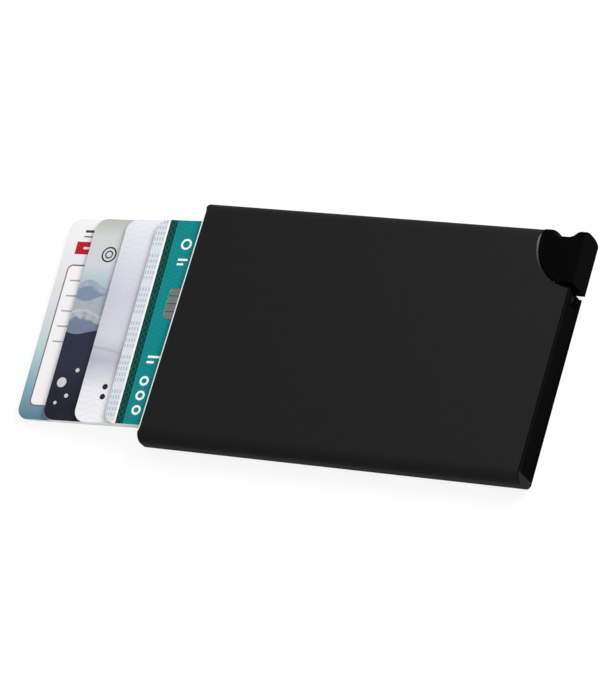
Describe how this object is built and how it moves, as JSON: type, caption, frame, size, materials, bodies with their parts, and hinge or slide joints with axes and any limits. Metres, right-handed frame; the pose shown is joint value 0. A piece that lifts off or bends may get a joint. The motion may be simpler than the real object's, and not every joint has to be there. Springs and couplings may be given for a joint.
{
  "type": "rfid card sleeve",
  "caption": "Flat extruded metal card case, open at one short end, with a corner lever that fans the cards out of its mouth.",
  "frame": {"origin": "centre of the case's flat back face", "axes": "+X along the case from the open mouth to the closed end, +Y across it to the lever's side, +Z from the back face to the front face"},
  "size_m": [0.1428, 0.063, 0.008],
  "materials": {
    "anodised": "black anodised, fine satin",
    "black_plastic": "moulded black, fine matt",
    "lever_plastic": "moulded black, satin",
    "pin_steel": "bright ground",
    "spring_steel": "drawn wire, black oxide",
    "felt": "short dark felt",
    "card_teal": "printed card, gloss laminate",
    "card_pale": "printed card, gloss laminate",
    "card_blue": "printed card, gloss laminate",
    "card_aqua": "printed card, gloss laminate",
    "contact_metal": "thin silvery gold plate"
  },
  "bodies": {
    "case_body": {"case": "anodised", "end_cap": "black_plastic", "hinge_pin": "pin_steel", "return_spring": "spring_steel", "felt_strip_front": "felt", "felt_strip_back": "felt"},
    "lever_body": {"lever": "lever_plastic"},
    "front_card_body": {"card_front": "card_teal", "chip_plate": "contact_metal"},
    "second_card_body": {"card_second": "card_pale"},
    "third_card_body": {"card_third": "card_blue"},
    "back_card_body": {"card_back": "card_aqua"}
  },
  "joints": [
    {"name": "lever_swing", "type": "hinge", "parent": "case_body", "child": "lever_body", "pos_m": [0.04895, 0.0154, 0.004], "axis": [0, 0, -1], "range_deg": [0, 30], "stiffness_Nm_per_rad": 0.01, "springref_deg": -20.05, "deforming": ["return_spring"]},
    {"name": "front_card_slide", "type": "slide", "parent": "case_body", "child": "front_card_body", "axis": [-1, 0, 0], "range_m": [-0.01335, 0.0749]},
    {"name": "second_card_slide", "type": "slide", "parent": "case_body", "child": "second_card_body", "axis": [-1, 0, 0], "range_m": [-0.02275, 0.0655]},
    {"name": "third_card_slide", "type": "slide", "parent": "case_body", "child": "third_card_body", "axis": [-1, 0, 0], "range_m": [-0.03245, 0.0558]},
    {"name": "back_card_slide", "type": "slide", "parent": "case_body", "child": "back_card_body", "axis": [-1, 0, 0], "range_m": [-0.04065, 0.0476]}
  ]
}
